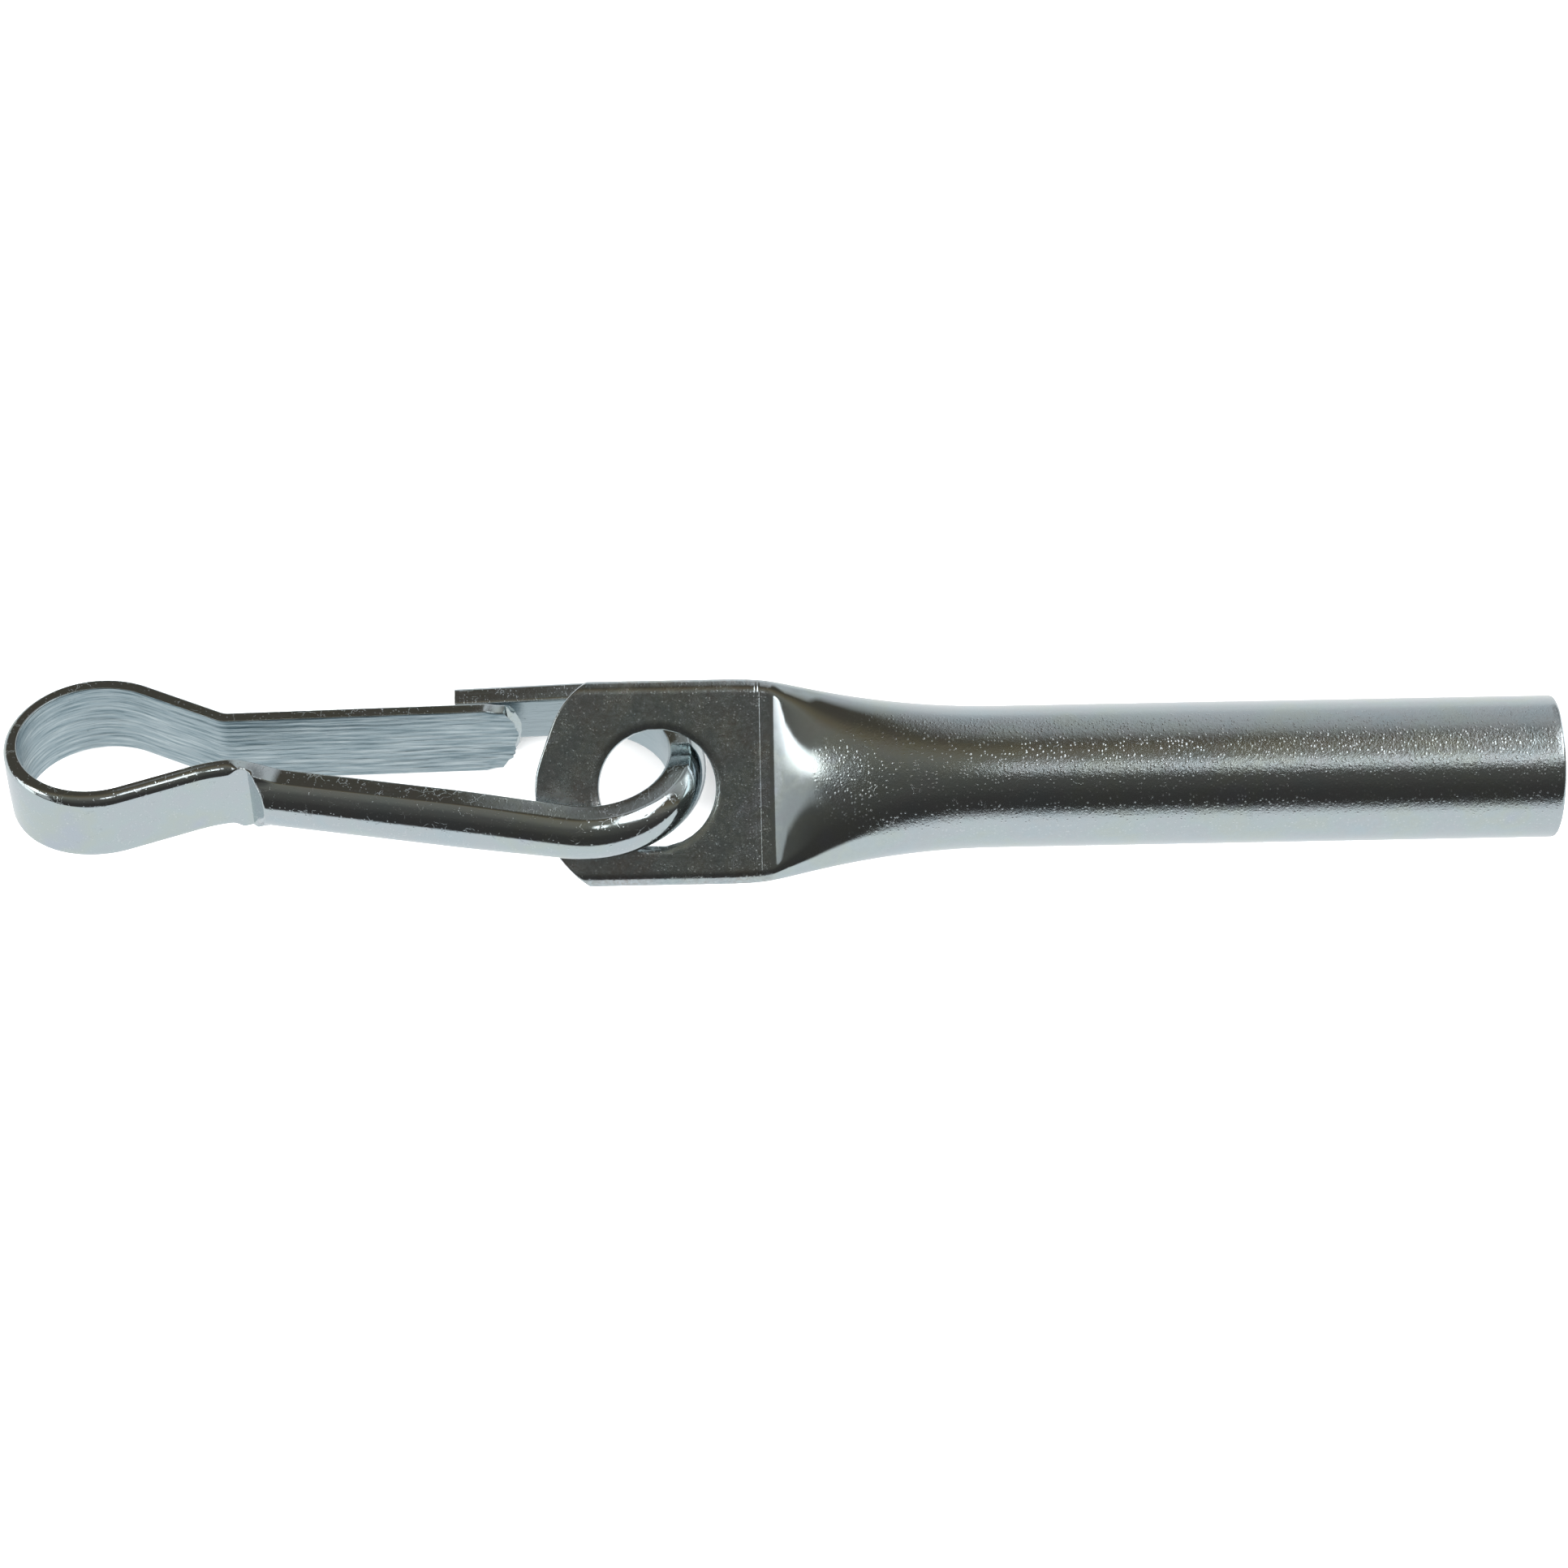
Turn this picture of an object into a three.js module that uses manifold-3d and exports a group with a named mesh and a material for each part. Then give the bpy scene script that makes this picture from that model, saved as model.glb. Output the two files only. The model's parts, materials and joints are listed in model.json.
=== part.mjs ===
// Safety chain hook for a truck or trailer: a length of steel tube pressed flat at one end into a
// punched eye, and a spring clip bent from one bar of spring steel that hangs in that eye.
//
// Millimetres. +X runs along the tube from the eye to its open end, +Z is up, square to the flat of
// the eye plate. The hook lies as if put down with the clip leaning through the eye, and the ground
// touches the clip's lowest point. The origin is on the ground, under the middle of the hook.

import * as THREE from "three";
import { mergeVertices } from "three/addons/utils/BufferGeometryUtils.js";
import Module from "manifold-3d";

const wasm = await Module();
wasm.setup();

const DEGREE = Math.PI / 180;

// Tube shank. Its own lengths are measured from the centre of the eye.
const TUBE_RADIUS = 8;
const TUBE_WALL = 1.5;
const TUBE_END = 100.8; // eye centre to the open end
const TUBE_SIDES = 40;
const PLATE_HALF_THICKNESS = 1.55; // two walls pressed together
const PLATE_TIP = { x: 0.3, radius: 14.1 }; // the plate's round end, about the tube's axis
const PLATE_TIP_STEPS = 24;
const EYE_RADIUS = 6.6;
const EYE_OFFSET = 0.58; // the eye is punched this far to -Y of the tube's axis
const EYE_SIDES = 48;
const CREASE_DISTANCE = 13; // eye centre to the crease where the flat stops
const PLATE_HALF_WIDTH = 11.55;
const NARROWING = { from: -0.8, length: 26, softness: 1.2 }; // how the sides draw in past the crease
const FLARE_LENGTH = 28; // crease to the full round tube
const FLARE_POWER = 2.4; // how the flare eases into the round tube
const FLARE_STEPS = 14;
const FLARE_CROWDING = 1.3; // above 1, the sections crowd towards the crease
const BORE_CLOSES_AT = 3; // the pressed walls meet this far past the crease

// Spring clip, in its own plane: x from the bulb towards the eye, y towards the gate, z across the
// bar. The bulb's centre is the clip's origin. The path follows the bar's inner face.
const BULB_RADIUS = 8.75;
const STRIP_WIDTH = 9;
const STRIP_THICKNESS = 1.65;
const LEG_WIDTH = 6.5;
const BAR_WIDTH = 5.9;
const BAR_DEPTH = 4.25;
const LEG_NARROWS_AT = 0.5; // share of the leg's length where it starts to narrow to the bow
const BOW = { x: 55.25, y: -0.2, radius: 9.2 }; // the bend that passes through the eye
const BACK_SLOPE = 23.8 * DEGREE; // bulb to neck, on the back leg's side
const BACK_NECK_RADIUS = 16;
const LEG_SLOPE = 9.75 * DEGREE; // neck to bow
const KEEPER_SLOPE = 4.5 * DEGREE;
const KEEPER_TIP_X = 39.8;
const KEEPER_SHARES = [0.6, 1]; // sections of the keeper, as shares of its length
const GATE_FALL = 26.6 * DEGREE; // bulb to neck, on the gate's side
const GATE_NECK_RADIUS = 3.2;
const GATE_RISE = 3.2 * DEGREE; // neck to the gate's free end
const GATE_NECK = { x: 13.7, y: 2.93 };
const GATE_TIP_X = 47.3;
const GATE_TIP_SECTIONS = [
  { share: 0.93, width: 8.3 },
  { share: 0.97, width: 7.5 },
  { share: 1, width: 5.15 },
]; // the sheared end: shares of the gate's length past the neck
const BULB_CUT = 0.15; // half the gap between the clip's two modelled halves
const RAMP = { from: 17.4, to: 20 }; // where the flattened strip becomes the deep bar
const STRIP_SQUARENESS = 7; // exponents of the two cross-sections' outer outline
const LEG_SQUARENESS = 2.6;
const BAR_SQUARENESS = 2.3;
const INNER_EDGE = 0.35; // chamfer along both edges of the inner face
const SECTION_STEPS = 12;
const ARC_STEP = 9 * DEGREE;
const NECK_STEP = 4 * DEGREE;

// Where the bulb's centre lies, with the tube's axis at y = z = 0, and how the clip leans.
const CLIP_PLACE = new THREE.Vector3(-63.16, 2.86, -2.42);
const CLIP_LEAN = -48 * DEGREE;
const CLIP_YAW = -1.086 * DEGREE;

// --- Solids -------------------------------------------------------------------------------------

function solidOf(geometry) {
  const bare = new THREE.BufferGeometry();
  bare.setAttribute("position", geometry.getAttribute("position"));
  bare.setIndex(geometry.getIndex());
  const merged = mergeVertices(bare, 1e-4);
  return new wasm.Manifold(
    new wasm.Mesh({
      numProp: 3,
      vertProperties: merged.attributes.position.array,
      triVerts: new Uint32Array(merged.index.array),
    }),
  );
}

function geometryOf(solid) {
  const mesh = solid.getMesh();
  const geometry = new THREE.BufferGeometry();
  geometry.setAttribute("position", new THREE.BufferAttribute(mesh.vertProperties, 3));
  geometry.setIndex(new THREE.BufferAttribute(mesh.triVerts, 1));
  return geometry;
}

// A closed skin over rings of equally many points, each end capped by a fan from its middle.
function loft(rings) {
  const count = rings[0].length;
  const points = rings.flat();
  const faces = [];
  for (let r = 0; r + 1 < rings.length; r++) {
    for (let i = 0; i < count; i++) {
      const j = (i + 1) % count;
      const [a, b, c, d] = [r * count + i, r * count + j, (r + 1) * count + j, (r + 1) * count + i];
      faces.push(a, b, c, a, c, d);
    }
  }
  for (const [start, ring, turned] of [
    [0, rings[0], true],
    [(rings.length - 1) * count, rings.at(-1), false],
  ]) {
    const middle = ring.reduce((sum, p) => sum.add(p), new THREE.Vector3()).divideScalar(count);
    points.push(middle);
    for (let i = 0; i < count; i++) {
      const j = (i + 1) % count;
      const [first, second] = turned ? [j, i] : [i, j];
      faces.push(start + first, start + second, points.length - 1);
    }
  }
  const geometry = new THREE.BufferGeometry().setFromPoints(points);
  geometry.setIndex(faces);
  return geometry;
}

// --- Tube shank ---------------------------------------------------------------------------------

// Half the thickness of the pressed tube at a distance past the crease.
function halfThickness(pastCrease) {
  const share = THREE.MathUtils.clamp(pastCrease / FLARE_LENGTH, 0, 1);
  return TUBE_RADIUS - (TUBE_RADIUS - PLATE_HALF_THICKNESS) * (1 - share) ** FLARE_POWER;
}

// Half the width of the pressed tube: its sides start to draw in just before the crease.
function halfWidth(pastCrease) {
  const { from, length, softness } = NARROWING;
  const run = softness * Math.log1p(Math.exp((pastCrease - from) / softness));
  const share = THREE.MathUtils.clamp(run / length, 0, 1);
  return TUBE_RADIUS + (PLATE_HALF_WIDTH - TUBE_RADIUS) * (1 - share) ** 2;
}

// Pressing keeps the tube's girth, so a thinner section is a wider stadium: two half circles and
// two flats. The ring lies in the plane x, and inset moves it in from the outer surface.
function tubeRing(x, inset) {
  const half = halfThickness(x - CREASE_DISTANCE);
  const flat = halfWidth(x - CREASE_DISTANCE) - half;
  const round = half - inset;
  return Array.from({ length: TUBE_SIDES }, (_, i) => {
    const angle = ((i + 0.5) / TUBE_SIDES) * 2 * Math.PI;
    const side = Math.sign(Math.cos(angle));
    return new THREE.Vector3(x, side * flat + round * Math.cos(angle), round * Math.sin(angle));
  });
}

// Sections of the flare, from a distance past the crease to the full round tube.
function flareStations(from) {
  return Array.from({ length: FLARE_STEPS + 1 }, (_, i) => {
    const share = (i / FLARE_STEPS) ** FLARE_CROWDING;
    return CREASE_DISTANCE + from + (FLARE_LENGTH - from) * share;
  });
}

// The pressed tube's outline from above: its two sides run on to a round end beyond the eye.
function trimOutline() {
  const { x, radius } = PLATE_TIP;
  const outline = new THREE.Shape();
  outline.moveTo(TUBE_END, -radius);
  outline.lineTo(TUBE_END, radius);
  outline.lineTo(x, radius);
  outline.absarc(x, 0, radius, Math.PI / 2, (3 * Math.PI) / 2, false);
  return outline;
}

function tubeShank() {
  const start = PLATE_TIP.x - PLATE_TIP.radius - 1;
  const beforeCrease = CREASE_DISTANCE + 2 * NARROWING.from;
  const stations = [start, beforeCrease, ...flareStations(0), TUBE_END];
  const outer = loft(stations.map((x) => tubeRing(x, 0)));
  const bore = loft(
    [...flareStations(BORE_CLOSES_AT), TUBE_END + 1].map((x) => tubeRing(x, TUBE_WALL)),
  );
  const trim = new THREE.ExtrudeGeometry(trimOutline(), {
    depth: 4 * TUBE_RADIUS,
    bevelEnabled: false,
    curveSegments: PLATE_TIP_STEPS,
  });
  trim.translate(0, 0, -2 * TUBE_RADIUS);
  const punch = new THREE.CylinderGeometry(EYE_RADIUS, EYE_RADIUS, 2 * TUBE_RADIUS, EYE_SIDES);
  punch.rotateX(Math.PI / 2);
  punch.translate(0, -EYE_OFFSET, 0);
  const pressed = solidOf(outer).intersect(solidOf(trim));
  return geometryOf(pressed.subtract(solidOf(bore)).subtract(solidOf(punch)));
}

// --- Spring clip --------------------------------------------------------------------------------

const towards = (angle) => new THREE.Vector2(Math.cos(angle), Math.sin(angle));

// Stations of an arc about a centre: each is a point of the inner face and the outward direction.
function arc(centre, radius, from, to, outwards, step = ARC_STEP) {
  const steps = Math.ceil(Math.abs(to - from) / step);
  return Array.from({ length: steps + 1 }, (_, i) => {
    const spoke = towards(from + ((to - from) * i) / steps);
    return {
      point: centre.clone().addScaledVector(spoke, radius),
      out: spoke.multiplyScalar(outwards),
    };
  });
}

// A bend of the bar at a corner between two headings, with its centre on the bar's outer side.
function bend(corner, heading, nextHeading, radius) {
  const turn = nextHeading - heading;
  const quarter = (Math.sign(turn) * Math.PI) / 2;
  const inwards = towards((heading + nextHeading) / 2 + quarter);
  const centre = corner.clone().addScaledVector(inwards, radius / Math.cos(turn / 2));
  return arc(centre, radius, heading - quarter, nextHeading - quarter, -1, NECK_STEP);
}

// Where a line from one point meets a line through another.
function crossing(start, heading, through, otherHeading) {
  const step = towards(heading);
  const other = towards(otherHeading);
  const apart = through.clone().sub(start);
  const distance = apart.cross(other) / step.cross(other);
  return start.clone().addScaledVector(step, distance);
}

// The bar's cross-section at a station: flat on the inner face, arched on the outer one.
function barRing({ point, out }, { width, depth, squareness }) {
  const at = (across, raised) =>
    new THREE.Vector3(point.x + out.x * raised, point.y + out.y * raised, across);
  const half = width / 2;
  const arch = Array.from({ length: SECTION_STEPS + 1 }, (_, i) => {
    const angle = (i / SECTION_STEPS) * Math.PI;
    const across = Math.sign(Math.cos(angle)) * Math.abs(Math.cos(angle)) ** (2 / squareness);
    const rise = Math.sin(angle) ** (2 / squareness);
    return at(across * half, INNER_EDGE + (depth - INNER_EDGE) * rise);
  });
  return [at(half - INNER_EDGE, 0), ...arch, at(INNER_EDGE - half, 0)];
}

const bulbCentre = new THREE.Vector2(0, 0);
const bowCentre = new THREE.Vector2(BOW.x, BOW.y);
const stripSection = { width: STRIP_WIDTH, depth: STRIP_THICKNESS, squareness: STRIP_SQUARENESS };
const legSection = { width: LEG_WIDTH, depth: BAR_DEPTH, squareness: LEG_SQUARENESS };
const barSection = { width: BAR_WIDTH, depth: BAR_DEPTH, squareness: BAR_SQUARENESS };

function blend(a, b, t) {
  const mix = (key) => THREE.MathUtils.lerp(a[key], b[key], t);
  return { width: mix("width"), depth: mix("depth"), squareness: mix("squareness") };
}

// Bulb half, neck, leg, bow and keeper: everything of the clip that stays put as the gate opens.
function clipFrame() {
  const cut = BULB_CUT / BULB_RADIUS;
  const leaves = BACK_SLOPE - Math.PI / 2;
  const bulb = arc(bulbCentre, BULB_RADIUS, Math.PI + cut - 2 * Math.PI, leaves, 1);
  const bow = arc(bowCentre, BOW.radius, -Math.PI / 2 - LEG_SLOPE, Math.PI / 2 + KEEPER_SLOPE, 1);
  const corner = crossing(bulb.at(-1).point, BACK_SLOPE, bow[0].point, -LEG_SLOPE);
  const neck = bend(corner, BACK_SLOPE, -LEG_SLOPE, BACK_NECK_RADIUS);
  const last = bow.at(-1);
  const reach = (last.point.x - KEEPER_TIP_X) / Math.cos(KEEPER_SLOPE);
  const keeper = KEEPER_SHARES.map((share) => ({
    point: last.point.clone().addScaledVector(towards(Math.PI + KEEPER_SLOPE), reach * share),
    out: last.out,
  }));
  const strip = [...bulb, ...neck].map((station) => {
    const past = (station.point.x - RAMP.from) / (RAMP.to - RAMP.from);
    const share = THREE.MathUtils.clamp(past, 0, 1);
    return barRing(station, blend(stripSection, legSection, share));
  });
  const narrowsAt = neck.at(-1).point.clone().lerp(bow[0].point, LEG_NARROWS_AT);
  const leg = barRing({ point: narrowsAt, out: bow[0].out }, legSection);
  const bar = [...bow, ...keeper].map((station) => barRing(station, barSection));
  return loft([...strip, leg, ...bar]);
}

// The other bulb half and the flat gate, which springs in towards the leg.
function gateArm() {
  const cut = BULB_CUT / BULB_RADIUS;
  const leaves = Math.PI / 2 - GATE_FALL;
  const bulb = arc(bulbCentre, BULB_RADIUS, Math.PI - cut, leaves, 1);
  const corner = new THREE.Vector2(GATE_NECK.x, GATE_NECK.y);
  const neck = bend(corner, -GATE_FALL, GATE_RISE, GATE_NECK_RADIUS);
  const out = towards(Math.PI / 2 + GATE_RISE);
  const reach = (GATE_TIP_X - corner.x) / Math.cos(GATE_RISE);
  const strip = [...bulb, ...neck].map((station) => barRing(station, stripSection));
  const tip = GATE_TIP_SECTIONS.map(({ share, width }) => {
    const point = corner.clone().addScaledVector(towards(GATE_RISE), reach * share);
    return barRing({ point, out }, { ...stripSection, width });
  });
  const rings = [...strip, ...tip];
  return loft(rings.map((ring) => ring.reverse()));
}

// --- Assembly -----------------------------------------------------------------------------------

const zincOnTube = new THREE.MeshStandardMaterial({
  color: 0x9da0a3,
  roughness: 0.25,
  metalness: 1,
});
const zincOnClip = new THREE.MeshStandardMaterial({
  color: 0xb4bec4,
  roughness: 0.3,
  metalness: 1,
});
const zincOnGate = new THREE.MeshStandardMaterial({
  color: 0xb2bcc2,
  roughness: 0.4,
  metalness: 1,
});

function part(name, geometry, material) {
  const mesh = new THREE.Mesh(geometry, material);
  mesh.name = name;
  return mesh;
}

const hook = new THREE.Group();
const clip = new THREE.Group();
clip.position.copy(CLIP_PLACE);
clip.rotation.set(CLIP_LEAN, 0, CLIP_YAW, "ZYX");
clip.add(part("clip_frame", clipFrame(), zincOnClip), part("gate_arm", gateArm(), zincOnGate));
hook.add(part("tube_shank", tubeShank(), zincOnTube), clip);

// The origin goes on the ground, under the middle of the hook.
hook.updateMatrixWorld(true);
const bounds = new THREE.Box3().setFromObject(hook, true);
hook.position.set(
  -(bounds.min.x + bounds.max.x) / 2,
  -(bounds.min.y + bounds.max.y) / 2,
  -bounds.min.z,
);

export default hook;
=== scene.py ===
"""Safety chain hook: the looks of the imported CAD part. Lengths are in millimetres until a mesh is made."""

import json
import math

import bmesh
import bpy
import numpy as np
from mathutils import Matrix, Vector


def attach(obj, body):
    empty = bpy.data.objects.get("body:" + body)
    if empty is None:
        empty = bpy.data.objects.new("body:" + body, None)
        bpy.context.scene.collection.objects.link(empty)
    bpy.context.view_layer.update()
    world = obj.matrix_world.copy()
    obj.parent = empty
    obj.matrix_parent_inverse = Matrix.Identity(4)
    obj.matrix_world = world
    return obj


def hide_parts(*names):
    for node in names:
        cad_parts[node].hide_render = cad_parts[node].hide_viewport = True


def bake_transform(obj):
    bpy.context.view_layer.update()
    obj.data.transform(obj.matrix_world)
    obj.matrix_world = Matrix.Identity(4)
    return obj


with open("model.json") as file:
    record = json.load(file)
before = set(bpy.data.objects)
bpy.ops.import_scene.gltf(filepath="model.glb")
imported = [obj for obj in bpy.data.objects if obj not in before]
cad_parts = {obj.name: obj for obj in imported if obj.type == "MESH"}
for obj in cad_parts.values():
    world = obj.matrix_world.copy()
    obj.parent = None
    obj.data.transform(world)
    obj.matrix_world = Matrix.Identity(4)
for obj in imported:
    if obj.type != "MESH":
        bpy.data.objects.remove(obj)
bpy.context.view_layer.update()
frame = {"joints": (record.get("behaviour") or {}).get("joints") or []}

MM = 0.001
JOINTS = {joint["name"]: joint for joint in frame["joints"]}
DEGREE = math.pi / 180

# Tube shank, measured from the eye's centre along the tube and from the tube's own axis.
TUBE_RADIUS = 8.0
TUBE_WALL = 1.5
TUBE_END = 100.8
EYE_RADIUS = 6.6
EYE_OFFSET = 0.58
PLATE_HALF_THICKNESS = 1.55
PLATE_HALF_WIDTH = 11.55
# The plate's sides draw in to the tube's width, from this far past the crease.
NARROWING_FROM = -0.8
NARROWING_LENGTH = 26.0
NARROWING_SOFTNESS = 1.2
PLATE_TIP_X = 0.3
PLATE_TIP_RADIUS = 14.1
TIP_DENT = 0.55
TIP_DENT_Y = 4.8
TIP_DENT_REACH = 3.4
LAST_PLATE_X = 8.6
CREASE_DISTANCE = 13.0
CREASE_SOFTNESS = 0.16
FLARE_LENGTH = 28.0
FLARE_POWER = 2.4
FLARE_CROWN = 0.75
FLARE_CROWN_LENGTH = 5.0
# How finely the tube's skin is divided: round it, and along each stretch of it.
GIRTH_POINTS = 320
PLATE_ROW_SHARES = (0, 0.004, 0.05, 0.15, 0.3, 0.45, 0.6, 0.75, 0.87)
PLAIN_STEP = 0.2
PRESS_MARK_STEP = 0.04
CREASE_STEP = 0.1
FLARE_STEP = 0.5
STRAIGHT_RINGS = 12
EYE_SHEET_REACH = 9.5
SHEET_LOOPS = (0.015, 0.1, 0.5)
# Grooves that the press left across the plate: where along the tube, width, depth.
PRESS_MARKS = ((11.2, 0.1, 0.045), (11.55, 0.1, 0.06))
TRIM_EDGE = 0.3
EYE_ROLLOVER = 0.85
EYE_ROLLOVER_DROP = 0.2
EYE_EDGE = 0.22
SEAM_HALF_GAP = 0.07
SEAM_DEPTH = 0.2
SEAM_LIP = 0.03
THICKEST_EDGE_SHARE = 0.45
END_OUTER_EDGE = 0.42
END_INNER_EDGE = 0.3

# Spring clip, in its own plane: u from the bulb towards the eye, v towards the gate.
BULB_RADIUS = 8.75
STRIP_WIDTH = 9.0
STRIP_THICKNESS = 1.65
LEG_WIDTH = 6.5
BAR_WIDTH = 5.8
BAR_DEPTH = 4.25
BOW_U = 55.25
BOW_V = -0.2
BOW_RADIUS = 9.2
BACK_SLOPE = 23.8 * DEGREE
BACK_NECK_RADIUS = 16.0
LEG_SLOPE = 9.75 * DEGREE
KEEPER_SLOPE = 4.5 * DEGREE
KEEPER_TIP_U = 39.8
GATE_FALL = 26.6 * DEGREE
GATE_NECK_RADIUS = 3.2
GATE_RISE = 3.2 * DEGREE
GATE_NECK_U = 13.7
GATE_NECK_V = 2.93
GATE_TIP_U = 47.0
TIP_LEAN = 0.5
TIP_NARROWING = 0.7
TIP_NARROWING_LENGTH = 3.2
SHEAR_LENGTH = 5.0
SHEAR_SAG = 1.9
SHEAR_CENTRE = 0.35
# Where along the clip's back bar its inner face goes from grooved to smooth.
GROOVES_END = 34.0
GROOVES_FADE = 8.0
GROOVES_LEFT = 0.15
GROOVE_SPACING = 0.72
# How far from the bulb's apex, along the clip, the thin strip ramps and widens into the bar.
RAMP_START = 17.5
RAMP_END = 20.1
WAIST_START = 14.8
WAIST_END = 21.6
RAMP_SOFTNESS = 0.08
STRIP_INNER_EDGE = 0.2
STRIP_CORNER = 1.35
APEX_CORNER = 0.75
GATE_CORNER = 0.4
CORNER_CHANGE = 1.2 * BULB_RADIUS
GATE_CORNER_CHANGE = 12.0
STRIP_CROWN_RADIUS = 140.0
LEG_INNER_EDGE = 0.3
LEG_CORNER = 0.45
BOW_INNER_EDGE = 0.4
BOW_CORNER = 0.9
LEG_CROWN_RADIUS = 3.85
BOW_CROWN_RADIUS = 3.2
LEG_ROUNDS_FROM = 40.0
LEG_ROUNDS_TO = 57.0
ROUND_FROM_SHARE = 0.7


# --- Meshes ---------------------------------------------------------------------------------------


class Skin:
    """Points and faces of one closed skin, with a second coordinate of each point along the bar."""

    def __init__(self):
        self.points = []
        self.paths = []
        self.faces = []
        self.sharp = []

    def add(self, points, paths=None):
        start = len(self.points)
        points = [tuple(p) for p in points]
        self.points += points
        self.paths += [tuple(p) for p in paths] if paths is not None else points
        return list(range(start, len(self.points)))

    def band(self, one, other, closed=True):
        count = len(one)
        for i in range(count if closed else count - 1):
            j = (i + 1) % count
            self.faces.append((one[i], one[j], other[j], other[i]))

    def fan(self, ring, centre):
        for i in range(len(ring)):
            self.faces.append((ring[i], ring[(i + 1) % len(ring)], centre))

    def crease(self, ring):
        for i in range(len(ring)):
            self.sharp.append(frozenset((ring[i], ring[(i + 1) % len(ring)])))

    def object(self, name, place):
        """A Blender object of the skin. place turns its points into the row frame, in metres."""
        used = sorted({i for face in self.faces for i in face})
        renumber = {old: new for new, old in enumerate(used)}
        mesh = bpy.data.meshes.new(name)
        mesh.from_pydata(
            [place @ Vector(self.points[i]) for i in used],
            [],
            [tuple(renumber[i] for i in face) for face in self.faces],
        )
        path = mesh.attributes.new("path", "FLOAT_VECTOR", "POINT")
        flat = [x * MM for i in used for x in self.paths[i]]
        path.data.foreach_set("vector", np.array(flat, np.float32))
        made = bpy.data.objects.new(name, mesh)
        bpy.context.scene.collection.objects.link(made)
        outwards(mesh)
        mesh.shade_smooth()
        creased = {frozenset(renumber[i] for i in edge) for edge in self.sharp}
        if creased:
            for edge in mesh.edges:
                if frozenset(edge.vertices) in creased:
                    edge.use_edge_sharp = True
        return made


def outwards(mesh):
    work = bmesh.new()
    work.from_mesh(mesh)
    bmesh.ops.recalc_face_normals(work, faces=work.faces)
    work.to_mesh(mesh)
    work.free()


def value_noise(x, y, seed):
    """Smooth noise from -1 to 1 over a plane, the same on every run."""
    cell_x, cell_y = np.floor(x), np.floor(y)

    def corner(i, j):
        mixed = np.sin((cell_x + i) * 127.1 + (cell_y + j) * 311.7 + seed * 74.7) * 43758.5453
        return 2 * (mixed - np.floor(mixed)) - 1

    s, t = x - cell_x, y - cell_y
    s, t = s * s * (3 - 2 * s), t * t * (3 - 2 * t)
    near = corner(0, 0) * (1 - s) + corner(1, 0) * s
    far = corner(0, 1) * (1 - s) + corner(1, 1) * s
    return near * (1 - t) + far * t


# --- Tube shank -----------------------------------------------------------------------------------


def half_thickness(x):
    """Half the pressed tube's thickness at x. The crease is rounded by CREASE_SOFTNESS."""
    past = (x - CREASE_DISTANCE) / CREASE_SOFTNESS
    share = min(CREASE_SOFTNESS * np.logaddexp(0.0, past) / FLARE_LENGTH, 1.0)
    rise = (TUBE_RADIUS - PLATE_HALF_THICKNESS) * (1 - (1 - share) ** FLARE_POWER)
    pressed = sum(
        depth * math.exp(-(((x - at) / width) ** 2)) for at, width, depth in PRESS_MARKS
    )
    return PLATE_HALF_THICKNESS + rise - pressed


def half_width(x):
    """Half the pressed tube's width at x. Its sides start to draw in just before the crease."""
    past = (x - CREASE_DISTANCE - NARROWING_FROM) / NARROWING_SOFTNESS
    share = min(NARROWING_SOFTNESS * np.logaddexp(0.0, past) / NARROWING_LENGTH, 1.0)
    return TUBE_RADIUS + (PLATE_HALF_WIDTH - TUBE_RADIUS) * (1 - share) ** 2


def stadium(half, wide, inset=0.0, crown=0.0):
    """Points round the pressed tube's section, evenly spaced on its outer girth, from +Y over +Z."""
    flat = max(wide - half, 0.0)
    girth = 4 * flat + 2 * math.pi * half
    ring = []
    for i in range(GIRTH_POINTS):
        run = girth * i / GIRTH_POINTS
        quarter = girth / 4
        turn, along = int(run // quarter) % 4, run % quarter
        arc = math.pi * half / 2
        if turn % 2 == 1:
            along = quarter - along
        angle = min(along, arc) / half
        y = flat + (half - inset) * math.cos(angle)
        z = (half - inset) * math.sin(angle)
        if along > arc:
            y -= along - arc
        if crown:
            oval = (half - inset) * math.sqrt(max(1 - (y / (flat + half - inset)) ** 2, 0.0))
            z += (oval - z) * crown
        sign_y = 1 if turn in (0, 3) else -1
        sign_z = 1 if turn in (0, 1) else -1
        ring.append((sign_y * y, sign_z * z))
    return ring


def tube_section(x, inset=0.0):
    return stadium(half_thickness(x), half_width(x), inset, crown_at(x))


def crown_at(x):
    """How far the section has gone from flat sides to an oval: nothing at the crease."""
    return FLARE_CROWN * smooth_step((x - CREASE_DISTANCE) / FLARE_CROWN_LENGTH)


def tip_x(y):
    dent = TIP_DENT * math.exp(-(((y - TIP_DENT_Y) / TIP_DENT_REACH) ** 2))
    return PLATE_TIP_X - math.sqrt(PLATE_TIP_RADIUS**2 - y * y) + dent


def quarter_round(radius, steps):
    """(back from the corner, down from the corner) round a quarter circle, from flat to wall."""
    for i in range(steps + 1):
        angle = math.pi / 2 * i / steps
        yield radius * (1 - math.sin(angle)), radius * (1 - math.cos(angle))


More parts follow.
